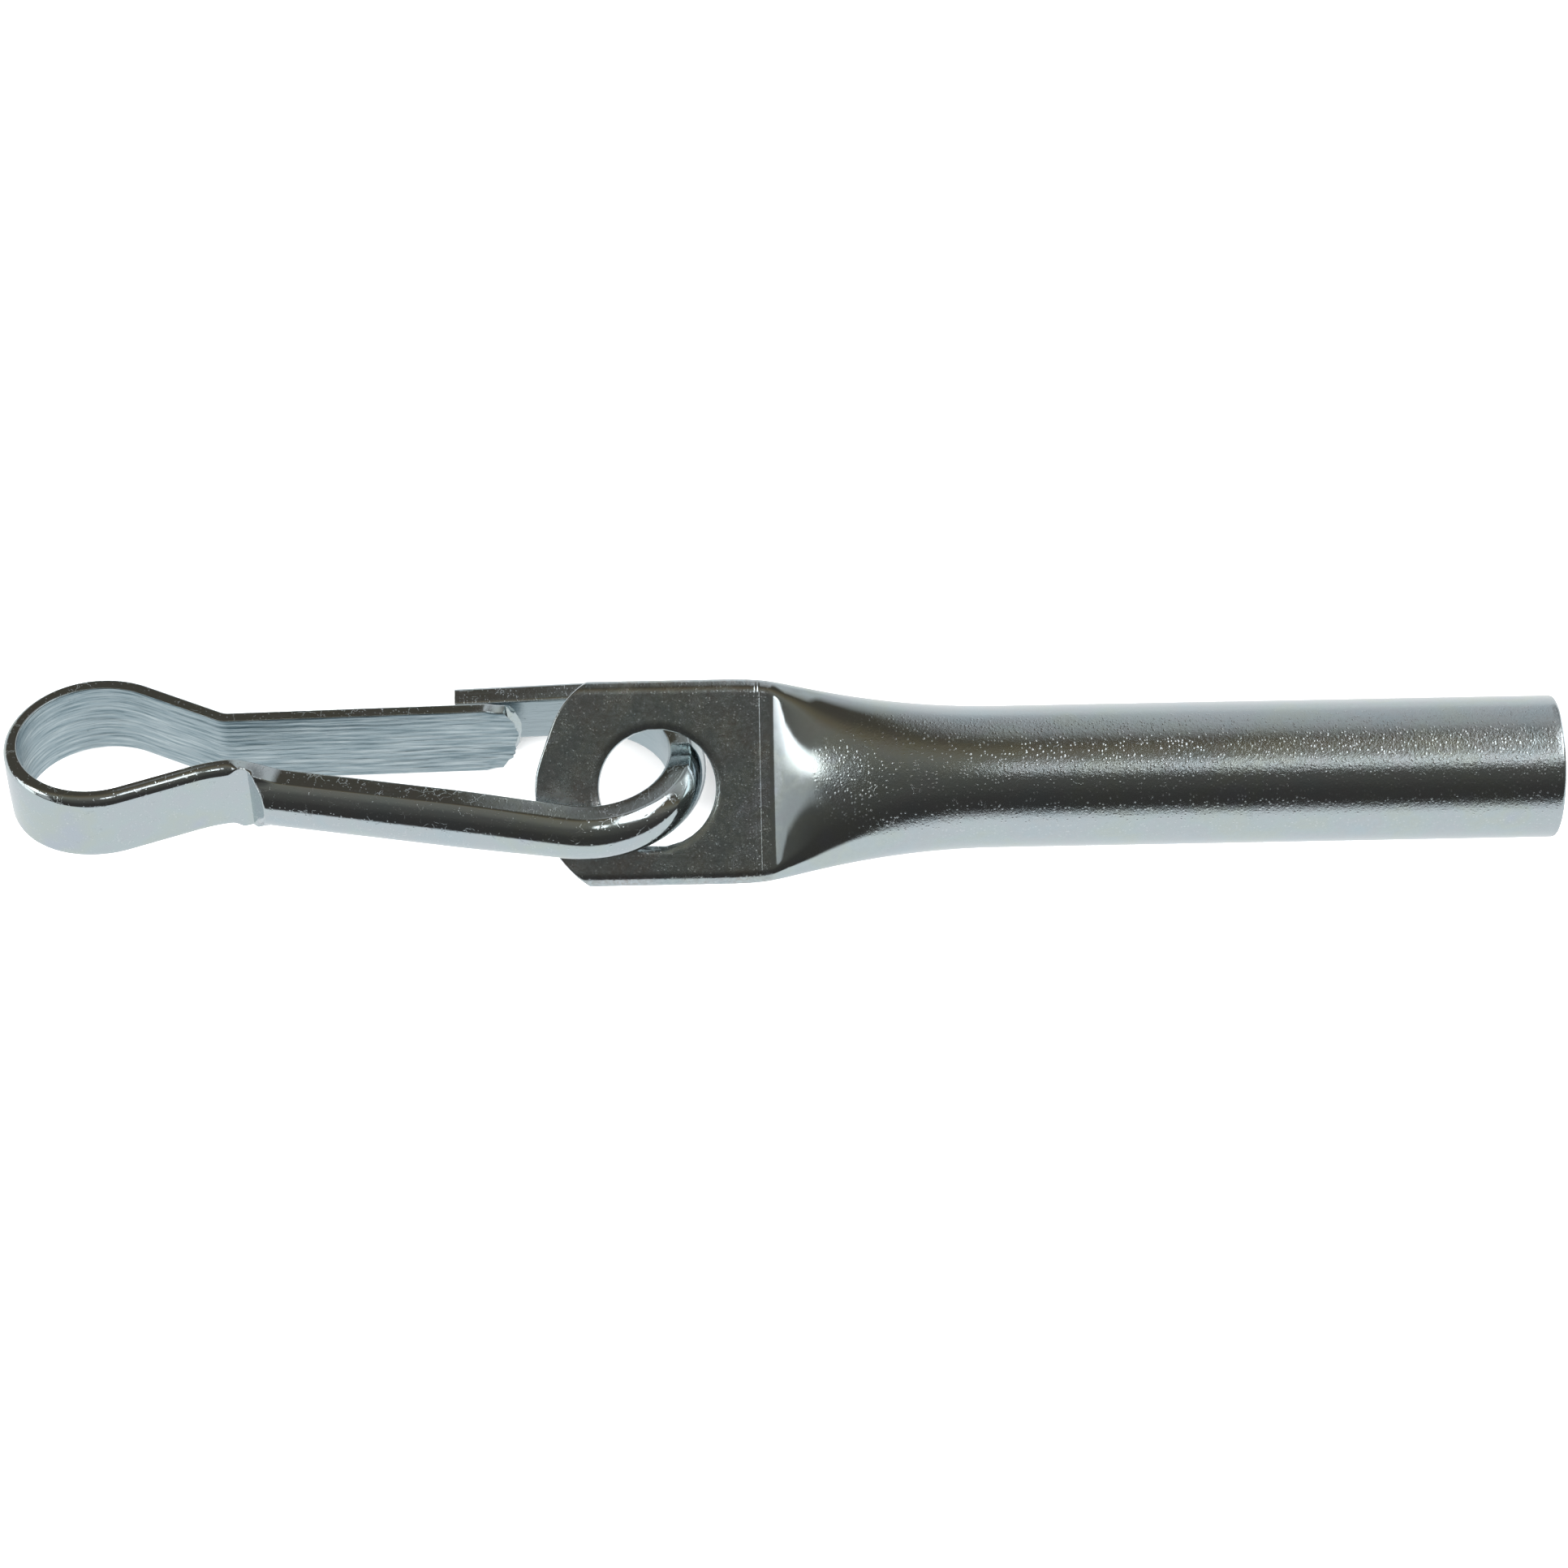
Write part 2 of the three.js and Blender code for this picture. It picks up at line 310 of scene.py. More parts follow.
def tube_shank():
    skin = Skin()
    half = GIRTH_POINTS // 2
    quarter = GIRTH_POINTS // 4

    # Plate: rows run from the trimmed round end to just short of the press marks.
    plate = stadium(PLATE_HALF_THICKNESS, PLATE_HALF_WIDTH)
    round_tube = stadium(TUBE_RADIUS, TUBE_RADIUS)
    hole_rows = len(PLATE_ROW_SHARES)
    rows = []
    for share in PLATE_ROW_SHARES + (1.0,):
        row = []
        for y, z in plate:
            start = tip_x(y) + edge_size(z)
            row.append((start + (LAST_PLATE_X - start) * share, y, z))
        rows.append(skin.add(row))

    # From there the whole ring runs through the crease and the flare to the round tube.
    flare_end = CREASE_DISTANCE + FLARE_LENGTH
    xs = list(np.arange(LAST_PLATE_X + 0.2, CREASE_DISTANCE - 2.2, PLAIN_STEP))
    xs += list(np.arange(CREASE_DISTANCE - 2.15, CREASE_DISTANCE - 1.1, PRESS_MARK_STEP))
    xs += list(np.arange(CREASE_DISTANCE - 1.0, CREASE_DISTANCE + 1.6, CREASE_STEP))
    xs += list(np.arange(CREASE_DISTANCE + 2.0, flare_end, FLARE_STEP))
    xs += list(np.linspace(flare_end, TUBE_END - 1.2, STRAIGHT_RINGS))
    for x in xs:
        rows.append(skin.add([(x, y, z) for y, z in tube_section(x)]))
    for back, down in reversed(list(quarter_round(END_OUTER_EDGE, 6))):
        scale = (TUBE_RADIUS - back) / TUBE_RADIUS
        rows.append(skin.add([(TUBE_END - down, y * scale, z * scale) for y, z in round_tube]))

    # Inside: the wall's far side, from the open end down to where the pressed walls meet.
    inner = []
    bore = TUBE_RADIUS - TUBE_WALL
    for back, down in quarter_round(END_INNER_EDGE, 5):
        scale = (bore + back) / TUBE_RADIUS
        inner.append(skin.add([(TUBE_END - down, y * scale, z * scale) for y, z in round_tube]))
    for x in reversed([x for x in xs if x > CREASE_DISTANCE + 0.3]):
        inner.append(skin.add([(x, y, z) for y, z in tube_section(x, TUBE_WALL)]))
    rows += inner

    reach = max(i for i in range(quarter) if abs(plate[quarter - i][0]) <= EYE_SHEET_REACH)
    top = set(range(quarter - reach, quarter + reach))
    under = set(range(3 * quarter - reach, 3 * quarter + reach))
    for r in range(len(rows) - 1):
        for i in range(GIRTH_POINTS):
            if r < hole_rows and (i in top or i in under):
                continue
            j = (i + 1) % GIRTH_POINTS
            skin.faces.append((rows[r][i], rows[r][j], rows[r + 1][j], rows[r + 1][i]))

    # The blind end of the bore is a thin slit, closed from wall to wall.
    slit = rows[-1]
    for i in range(half):
        a, b = i, i + 1
        c, d = (-b) % GIRTH_POINTS, (-a) % GIRTH_POINTS
        corners = [slit[a], slit[b], slit[c], slit[d]]
        unique = list(dict.fromkeys(corners))
        if len(unique) > 2:
            skin.faces.append(tuple(unique))

    eye_sheets(skin, rows, hole_rows, quarter - reach, quarter + reach)
    trimmed_end(skin, rows[0], plate)
    return skin


def edge_size(z):
    """The trimmed edge's rounding. It shrinks to nothing where the plate's folded side is thin."""
    return min(TRIM_EDGE, THICKEST_EDGE_SHARE * abs(z))


def eye_sheets(skin, rows, last_row, first, last):
    """The two flat sheets round the eye, and the eye's wall between them."""

    def border(a, b):
        loop = [rows[0][i] for i in range(a, b)]
        loop += [rows[r][b] for r in range(0, last_row)]
        loop += [rows[last_row][i] for i in range(b, a, -1)]
        loop += [rows[r][a] for r in range(last_row, 0, -1)]
        return loop

    upper = border(first, last)
    mirrored = [(-i) % GIRTH_POINTS for i in range(GIRTH_POINTS)]
    flip = {rows[r][i]: rows[r][mirrored[i]] for r in range(last_row + 1) for i in range(GIRTH_POINTS)}
    lower = [flip[i] for i in upper]

    angles = []
    for index in upper:
        x, y = skin.points[index][:2]
        angles.append(math.atan2(y + EYE_OFFSET, x))

    def circle(radius, z):
        return skin.add([(radius * math.cos(a), radius * math.sin(a) - EYE_OFFSET, z) for a in angles])

    # (radius, height) down the upper half of the eye's wall: the sheet's rollover, the edge, the seam.
    top = PLATE_HALF_THICKNESS
    profile = [(EYE_RADIUS + EYE_EDGE + EYE_ROLLOVER + 0.05, top)]
    for i in range(7):
        share = i / 6
        drop = EYE_ROLLOVER_DROP * share**2
        profile.append((EYE_RADIUS + EYE_EDGE + EYE_ROLLOVER * (1 - share), top - drop))
    for back, down in list(quarter_round(EYE_EDGE, 5))[1:]:
        profile.append((EYE_RADIUS + back, top - EYE_ROLLOVER_DROP - down))
    profile.append((EYE_RADIUS, SEAM_HALF_GAP * 3))
    profile.append((EYE_RADIUS + 0.02, SEAM_HALF_GAP))
    profile.append((EYE_RADIUS + SEAM_DEPTH, 0.01))
    faces_up = [circle(r, z) for r, z in profile]
    faces_down = [circle(r, -z) for r, z in reversed(profile)]
    loops = [upper] + between(skin, upper, faces_up[0]) + faces_up
    loops += faces_down + between(skin, lower, faces_down[-1])[::-1] + [lower]
    for one, other in zip(loops, loops[1:]):
        skin.band(one, other)


def between(skin, border, circle):
    """Loops of the flat sheet close inside its border, so that the border's roundings stay narrow."""
    one = np.array([skin.points[i] for i in border])
    other = np.array([skin.points[i] for i in circle])
    return [skin.add(one + (other - one) * share) for share in SHEET_LOOPS]


def trimmed_end(skin, row, plate):
    """The cut face of the plate's round end: two sheets pressed together, with a fine seam."""
    quarter = GIRTH_POINTS // 4
    columns = []
    for i in range(1, 2 * quarter):
        y, z = plate[i]
        size = edge_size(z)
        seam = min(SEAM_HALF_GAP, 0.3 * z)
        lip = min(SEAM_DEPTH, 0.5 * z)
        corner = [(size - back, down) for back, down in quarter_round(size, 4)]
        profile = [(size - s, z - d) for s, d in corner[1:]]
        depths = profile + [(0.0, seam * 2), (SEAM_LIP, seam), (lip, 0.0)]
        depths += [(SEAM_LIP, -seam), (0.0, -seam * 2)] + [(x, -h) for x, h in reversed(profile)]
        column = skin.add([(tip_x(y) + x, y, h) for x, h in depths])
        columns.append([row[i]] + column + [row[(-i) % GIRTH_POINTS]])
    for one, other in zip(columns, columns[1:]):
        skin.band(one, other, closed=False)
    for column, end in ((columns[0], row[0]), (columns[-1], row[2 * quarter])):
        for i in range(len(column) - 1):
            skin.faces.append((column[i], column[i + 1], end))


# --- Spring clip ----------------------------------------------------------------------------------


def towards(angle):
    return np.array([math.cos(angle), math.sin(angle)])


def arc(centre, radius, start, end, outwards_sign, step):
    """Stations of an arc: a point of the inner face and the direction from there to the outside."""
    steps = max(2, math.ceil(abs(end - start) / step))
    made = []
    for i in range(steps + 1):
        spoke = towards(start + (end - start) * i / steps)
        made.append((np.array(centre) + radius * spoke, outwards_sign * spoke))
    return made


def bend(corner, heading, next_heading, radius, step):
    turn = next_heading - heading
    quarter = math.copysign(math.pi / 2, turn)
    inwards = towards((heading + next_heading) / 2 + quarter)
    centre = corner + inwards * radius / math.cos(turn / 2)
    return arc(centre, radius, heading - quarter, next_heading - quarter, -1, step)


def crossing(start, heading, through, other_heading):
    step, other = towards(heading), towards(other_heading)
    apart = through - start
    distance = (apart[0] * other[1] - apart[1] * other[0]) / (step[0] * other[1] - step[1] * other[0])
    return start + step * distance


def straight(one, other, spacing):
    """Stations between two others, evenly spaced, without the two themselves."""
    length = np.linalg.norm(other[0] - one[0])
    count = max(1, int(length / spacing))
    shares = [i / count for i in range(1, count)]
    return [(one[0] + (other[0] - one[0]) * s, one[1] + (other[1] - one[1]) * s) for s in shares]


ARC_STEP = 2 * DEGREE
NECK_STEP = 0.5 * DEGREE
GATE_NECK_STEP = 3 * DEGREE
LEG_SPACING = 0.25
STRIP_SPACING = 0.5
BAR_SPACING = 0.4


def back_path():
    """The clip from the bulb's middle along the leg, round the bow and back to the keeper's tip."""
    bulb = arc((0, 0), BULB_RADIUS, -math.pi, BACK_SLOPE - math.pi / 2, 1, ARC_STEP)
    bow = arc((BOW_U, BOW_V), BOW_RADIUS, -math.pi / 2 - LEG_SLOPE, math.pi / 2 + KEEPER_SLOPE, 1, ARC_STEP)
    corner = crossing(bulb[-1][0], BACK_SLOPE, bow[0][0], -LEG_SLOPE)
    neck = bend(corner, BACK_SLOPE, -LEG_SLOPE, BACK_NECK_RADIUS, NECK_STEP)
    last_point, last_out = bow[-1]
    reach = (last_point[0] - KEEPER_TIP_U) / math.cos(KEEPER_SLOPE)
    tip = (last_point + towards(math.pi + KEEPER_SLOPE) * reach, last_out)
    leg = straight(neck[-1], bow[0], LEG_SPACING)
    keeper = straight(bow[-1], tip, BAR_SPACING)
    return bulb + straight(bulb[-1], neck[0], STRIP_SPACING) + neck + leg + bow + keeper + [tip]


def gate_path():
    """The clip from the bulb's middle the other way, down the gate to its sheared end."""
    bulb = arc((0, 0), BULB_RADIUS, math.pi, math.pi / 2 - GATE_FALL, 1, ARC_STEP)
    corner = np.array([GATE_NECK_U, GATE_NECK_V])
    neck = bend(corner, -GATE_FALL, GATE_RISE, GATE_NECK_RADIUS, GATE_NECK_STEP)
    reach = (GATE_TIP_U - GATE_NECK_U) / math.cos(GATE_RISE)
    tip = (corner + towards(GATE_RISE) * reach, towards(math.pi / 2 + GATE_RISE))
    arm = straight(neck[-1], tip, BAR_SPACING)
    return bulb + straight(bulb[-1], neck[0], STRIP_SPACING) + neck + arm + [tip]


INNER_STEPS = 72
INNER_CORNER_STEPS = 5
SIDE_STEPS = 2
OUTER_CORNER_STEPS = 12
OUTER_STEPS = 14


def section(width, depth, inner_edge, corner, crown_radius):
    """Closed outline of the bar: (across, raised), round from the -side edge of the inner face.

    The outer face is an arc of crown_radius, which runs on into the rounded corners."""
    half = width / 2
    inner_half = half - inner_edge
    inner = [(-inner_half + 2 * inner_half * i / INNER_STEPS, 0.0) for i in range(INNER_STEPS + 1)]
    lean = math.asin((half - corner) / (crown_radius - corner))
    crown_centre = depth - crown_radius
    corner_centre = crown_centre + (crown_radius - corner) * math.cos(lean)
    right = []
    for i in range(1, INNER_CORNER_STEPS + 1):
        angle = math.pi / 2 * i / INNER_CORNER_STEPS
        right.append((inner_half + inner_edge * math.sin(angle), inner_edge * (1 - math.cos(angle))))
    for i in range(1, SIDE_STEPS + 1):
        right.append((half, inner_edge + (corner_centre - inner_edge) * i / SIDE_STEPS))
    for i in range(1, OUTER_CORNER_STEPS + 1):
        angle = math.pi / 2 + (lean - math.pi / 2) * i / OUTER_CORNER_STEPS
        right.append((half - corner + corner * math.sin(angle), corner_centre + corner * math.cos(angle)))
    outer = []
    for i in range(1, OUTER_STEPS):
        angle = lean * (1 - 2 * i / OUTER_STEPS)
        outer.append((crown_radius * math.sin(angle), crown_centre + crown_radius * math.cos(angle)))
    left = [(-a, r) for a, r in reversed(right)]
    return np.array(inner + right + outer + left)


def smooth_min(a, b, softness):
    h = np.clip(0.5 + 0.5 * (b - a) / softness, 0, 1)
    return b * (1 - h) + a * h - softness * h * (1 - h)


def smooth_step(x):
    x = min(max(x, 0.0), 1.0)
    return x * x * (3 - 2 * x)


def groove(across, along, seed):
    """How far the inner face stands in or out: long wavy drawn lines, in millimetres."""
    drift = 0.55 * value_noise(along * 0.11, across * 0.25, seed)
    drift = drift + 0.16 * value_noise(along * 0.5, across * 0.8, seed + 5)
    phase = (across + drift) * 2 * math.pi / GROOVE_SPACING
    waves = np.sin(phase) * (0.55 + 0.45 * value_noise(along * 0.22, across * 0.9, seed + 9))
    coarse = value_noise(along * 0.16, across * 1.7 + drift, seed + 3)
    return 0.019 * waves + 0.017 * coarse


def bar_skin(path, section_along, shape_end, grooves, seed):
    """Lofts the section along the path. Both ends are caps with a creased rim."""
    skin = Skin()
    run = 0.0
    rings = []
    previous = path[0][0]
    length = sum(np.linalg.norm(b[0] - a[0]) for a, b in zip(path, path[1:]))
    for point, out in path:
        run += np.linalg.norm(point - previous)
        previous = point
        outline = section_along(point, run, length)
        across, raised = outline[:, 0], outline[:, 1]
        inner = slice(0, INNER_STEPS + 1)
        fade = np.clip((np.abs(across[0]) - np.abs(across[inner])) / 0.5, 0, 1)
        depth = grooves(run, length)
        raised = raised.copy()
        raised[inner] -= groove(across[inner], np.full(INNER_STEPS + 1, run), seed) * fade * depth
        ahead = np.array([out[1], -out[0]])
        shift = shape_end(across, raised, run, length)
        ring = []
        paths = []
        for a, r, s in zip(across, raised, shift):
            at = point + out * r + ahead * s
            ring.append((at[0], at[1], a))
            paths.append((run + abs(s), a, r))
        rings.append(skin.add(ring, paths))
    for one, other in zip(rings, rings[1:]):
        skin.band(one, other)
    for ring in (rings[0], rings[-1]):
        middle = np.mean([skin.points[i] for i in ring], axis=0)
        skin.fan(ring, skin.add([middle], [skin.paths[ring[0]]])[0])
        skin.crease(ring)
    return skin


def clip_section(point, run, length):
    """Thin flat strip round the bulb, a ramp, then the deep round-backed bar of leg and keeper."""
    u = point[0]
    front = smooth_step((u + BULB_RADIUS) / CORNER_CHANGE)
    corner = APEX_CORNER + (STRIP_CORNER - APEX_CORNER) * front
    strip = section(STRIP_WIDTH, STRIP_THICKNESS, STRIP_INNER_EDGE, corner, STRIP_CROWN_RADIUS)
    if u <= WAIST_START and run < length / 2:
        return strip
    leg = section(LEG_WIDTH, BAR_DEPTH, LEG_INNER_EDGE, LEG_CORNER, LEG_CROWN_RADIUS)
    bow = section(BAR_WIDTH, BAR_DEPTH, BOW_INNER_EDGE, BOW_CORNER, BOW_CROWN_RADIUS)
    rounder = smooth_step((u - LEG_ROUNDS_FROM) / (LEG_ROUNDS_TO - LEG_ROUNDS_FROM))
    if run > ROUND_FROM_SHARE * length:
        rounder = 1.0
    bar = leg * (1 - rounder) + bow * rounder
    if u >= WAIST_END or run > length / 2:
        return bar
    grown = smooth_step((u - WAIST_START) / (WAIST_END - WAIST_START))
    mixed = strip * (1 - grown) + bar * grown
    swell = smooth_step((u - WAIST_START) / (RAMP_START - WAIST_START))
    mixed[:, 1] = strip[:, 1] * (1 - swell) + bar[:, 1] * swell
    slope = (BAR_DEPTH - STRIP_THICKNESS) / (RAMP_END - RAMP_START)
    ceiling = STRIP_THICKNESS + max(u - RAMP_START, 0.0) * slope
    mixed[:, 1] = smooth_min(mixed[:, 1], np.full(len(mixed), ceiling), RAMP_SOFTNESS)
    return mixed


def gate_section(point, run, length):
    """Thin flat strip, a little narrower at its sheared end."""
    corner = APEX_CORNER - (APEX_CORNER - GATE_CORNER) * smooth_step(run / GATE_CORNER_CHANGE)
    near_tip = smooth_step((run - length + TIP_NARROWING_LENGTH) / TIP_NARROWING_LENGTH)
    width = STRIP_WIDTH - TIP_NARROWING * near_tip
    return section(width, STRIP_THICKNESS, STRIP_INNER_EDGE, corner, STRIP_CROWN_RADIUS)


def sheared(across, raised, run, length):
    """The gate's end is sheared to a shallow curve, with a torn, uneven edge."""
    near = smooth_step((run - length + SHEAR_LENGTH) / SHEAR_LENGTH)
    curve = -SHEAR_SAG * ((across - SHEAR_CENTRE) / (STRIP_WIDTH / 2)) ** 2
    torn = 0.22 * value_noise(across * 1.6, raised * 0.8, 21)
    torn = torn + 0.12 * value_noise(across * 4.5, raised * 2.2, 22)
    lean = TIP_LEAN * raised / STRIP_THICKNESS
    return near * (curve + torn + lean)


def square(across, raised, run, length):
    """An end cut square: nothing is moved."""
    return np.zeros(len(across))


def clip_frame_skin():
    return bar_skin(
        back_path(),
        clip_section,
        square,
        lambda run, length: 1.0 - (1.0 - GROOVES_LEFT) * smooth_step((run - GROOVES_END) / GROOVES_FADE),
        1.0,
    )


def gate_skin():
    return bar_skin(gate_path(), gate_section, sheared, lambda run, length: 1.0, 2.0)


# --- Placing --------------------------------------------------------------------------------------

eye = Vector(JOINTS["eye_swing"]["pos_m"])
tube_axis_y = eye.y + EYE_OFFSET * MM
tube_place = Matrix.Translation((eye.x, tube_axis_y, eye.z)) @ Matrix.Scale(MM, 4)

apex = Vector(JOINTS["gate_flex"]["pos_m"])
across_axis = -Vector(JOINTS["gate_flex"]["axis"]).normalized()
along_axis = across_axis.cross(Vector((0, 0, 1))).normalized()
gatewards = across_axis.cross(along_axis)
bulb_centre = apex + along_axis * (BULB_RADIUS + STRIP_THICKNESS / 2) * MM
clip_place = Matrix.Translation(bulb_centre) @ Matrix(
    [[along_axis[i], gatewards[i], across_axis[i]] for i in range(3)]
).to_4x4() @ Matrix.Scale(MM, 4)


# --- Materials ------------------------------------------------------------------------------------


class Shade:
    """A short way to write the nodes of a material or a world."""

    def __init__(self, owner):
        self.tree = owner.node_tree
        self.tree.nodes.clear()

    def node(self, kind, inputs=None, **settings):
        made = self.tree.nodes.new(kind)
        for key, value in settings.items():
            setattr(made, key, value)
        for key, value in (inputs or {}).items():
            if hasattr(value, "is_output"):
                self.tree.links.new(value, made.inputs[key])
            else:
                made.inputs[key].default_value = value
        return made

    def noise(self, vector, scale, detail=3.0, roughness=0.55):
        made = self.node(
            "ShaderNodeTexNoise",
            {"Vector": vector, "Scale": scale, "Detail": detail, "Roughness": roughness},
        )
        return made.outputs["Fac"]

    def ramp(self, value, stops):
        made = self.node("ShaderNodeValToRGB", {"Fac": value})
        elements = made.color_ramp.elements
        while len(elements) < len(stops):
            elements.new(0.5)
        for element, (at, colour) in zip(elements, stops):
            element.position = at
            element.color = (*colour, 1.0) if len(colour) == 3 else colour
        return made.outputs["Color"]

    def range(self, value, low, high, to_low=0.0, to_high=1.0):
        made = self.node(
            "ShaderNodeMapRange",
            {"Value": value, "From Min": low, "From Max": high, "To Min": to_low, "To Max": to_high},
        )
        return made.outputs["Result"]

    def math(self, operation, a, b=0.0):
        return self.node("ShaderNodeMath", {0: a, 1: b}, operation=operation).outputs["Value"]

    def mix(self, share, a, b, mode="MIX"):
        made = self.node("ShaderNodeMix", data_type="RGBA", blend_type=mode)
        for key, value in ((0, share), (6, a), (7, b)):
            if hasattr(value, "is_output"):
                self.tree.links.new(value, made.inputs[key])
            else:
                made.inputs[key].default_value = (*value, 1.0) if isinstance(value, tuple) else value
        return made.outputs[2]

    def channel(self, colour, index):
        return self.node("ShaderNodeSeparateColor", {"Color": colour}).outputs[index]

    def scaled(self, vector, factor):
        made = self.node("ShaderNodeVectorMath", {0: vector, "Scale": factor}, operation="SCALE")
        return made.outputs["Vector"]

    def stretch(self, vector, scale):
        return self.node("ShaderNodeMapping", {"Vector": vector, "Scale": scale}).outputs["Vector"]


def new_material(name):
    material = bpy.data.materials.new(name)
    material.use_nodes = True
    return material


ZINC = (0.50, 0.56, 0.58)
# White painted into specks and scratches as glints, and into the plate's tip as a painted reflection.
PAINTED_LIGHT_WHITE = (0.72, 0.77, 0.79)
ROLLED_ZINC = (0.40, 0.475, 0.505)
BORE_GREY = (0.50, 0.51, 0.50)
BORE_ROUGHNESS = 0.5
BROWN_STAIN = (0.36, 0.31, 0.27)
TEAL_STAIN = (0.27, 0.34, 0.36)

# Specks: cells per metre, a speck's size as a share of its cell, the share of cells that hold one.
TUBE_SPECKS = (1000.0, 0.18, 0.26)
TUBE_FINE_SPECKS = (2600.0, 0.4, 0.5)
CLIP_SPECKS = (1000.0, 0.15, 0.1)
CLIP_FINE_SPECKS = (3400.0, 0.34, 0.25)
# Scratches: cells per metre, thickness as a share of a cell, the share of their length that shows.
TUBE_SCRATCHES = (520.0, 0.02, 0.1)
CLIP_SCRATCHES = (640.0, 0.022, 0.35)
SCRATCH_STRENGTH = 0.5

# Roughness: the polished tube, its pressed plate, the clip's outside, and what haze and specks add.
TUBE_ROUGHNESS = 0.075
PLATE_ROUGHNESS = 0.14
TUBE_HAZE = 0.06
PLATE_HAZE = 0.13
CLIP_ROUGHNESS = 0.08
CLIP_HAZE = 0.10
ROLLED_FACE_ROUGHNESS = 0.24
SPECK_ROUGHNESS = 0.3
CLIP_SPECK_ROUGHNESS = 0.25
REFLECTION_HAZE_ROUGHNESS = 0.22
TUBE_END_ROUGHNESS = 0.03

# Relief: what a height of 1 stands for, and how strongly each piece's relief shows.
RELIEF_HEIGHT = 0.0001
TUBE_RELIEF = 0.28
CLIP_RELIEF = 0.22

# The tube's pits, and the glints painted white on them, lie only where it faces up: heights above its axis.
# The plate is pitted less.
PITS_AND_GLINTS_FROM = 3.6 * MM
PITS_AND_GLINTS_FULL = 5.6 * MM
PLATE_PITS_AND_GLINTS = 0.4
# A painted reflection lies on the plate's tip on one side of the eye, with a rougher haze there.
REFLECTION_FROM_X = -7.5 * MM
REFLECTION_FULL_X = -12.0 * MM
REFLECTION_FROM_Y = 1.5 * MM
REFLECTION_FULL_Y = -3.0 * MM
# How far along each bar from the bulb's middle the rolled streaks run.
CLIP_STREAKS_LENGTH = 26.0
GATE_STREAKS_LENGTH = 90.0
STREAKS_FADE = 6.0


def tinted(shade, place, colour):
    """The thin rainbow of a passivated zinc coat: lilac, straw and pale blue clouds."""
    clouds = shade.ramp(
        shade.noise(place, 130.0, 3.0, 0.6),
        [
            (0.30, (0.95, 0.99, 1.02)),
            (0.44, (1.01, 0.99, 1.0)),
            (0.52, (0.99, 1.01, 1.0)),
            (0.60, (1.01, 1.01, 0.95)),
            (0.72, (0.98, 0.97, 1.02)),
        ],
    )
    return shade.mix(1.0, colour, clouds, "MULTIPLY")


def specks(shade, place, per_metre, size, share):
    """Round specks on a random share of the cells: 1 in a speck's middle, 0 outside."""
    cells = shade.node("ShaderNodeTexVoronoi", {"Vector": place, "Scale": per_metre})
    chosen = shade.range(shade.channel(cells.outputs["Color"], 0), 1 - share, 1 - share + 0.02)
    return shade.math("MULTIPLY", shade.range(cells.outputs["Distance"], size, size * 0.4), chosen)


def hairlines(shade, place, per_metre, thickness, share):
    """Fine crooked scratches, broken up so that only a share of their length shows."""
    swirl = shade.node("ShaderNodeTexNoise", {"Vector": place, "Scale": per_metre * 1.7, "Detail": 2.0})
    bent = shade.node(
        "ShaderNodeVectorMath",
        {0: place, 1: shade.scaled(swirl.outputs["Color"], 0.9 / per_metre)},
        operation="ADD",
    ).outputs["Vector"]
    cells = shade.node(
        "ShaderNodeTexVoronoi", {"Vector": bent, "Scale": per_metre}, feature="DISTANCE_TO_EDGE"
    )
    line = shade.range(cells.outputs["Distance"], thickness, 0.0)
    shown = shade.range(shade.noise(place, per_metre * 0.9, 2.0), 0.62 - share * 0.3, 0.7 - share * 0.3)
    return shade.math("MULTIPLY", line, shown)


def drawn_lines(shade, path, along, across):
    """Noise drawn out along the bar."""
    return shade.noise(shade.stretch(path, (along, across, across)), 1.0, 4.0, 0.6)


def finish_zinc(shade, colour, rough, height, strength):
    relief = {"Height": height, "Strength": strength, "Distance": RELIEF_HEIGHT}
    bump = shade.node("ShaderNodeBump", relief)
    surface = shade.node(
        "ShaderNodeBsdfPrincipled",
        {"Base Color": colour, "Metallic": 1.0, "Roughness": rough, "Normal": bump.outputs["Normal"]},
    )
    shade.node("ShaderNodeOutputMaterial", {"Surface": surface.outputs["BSDF"]})


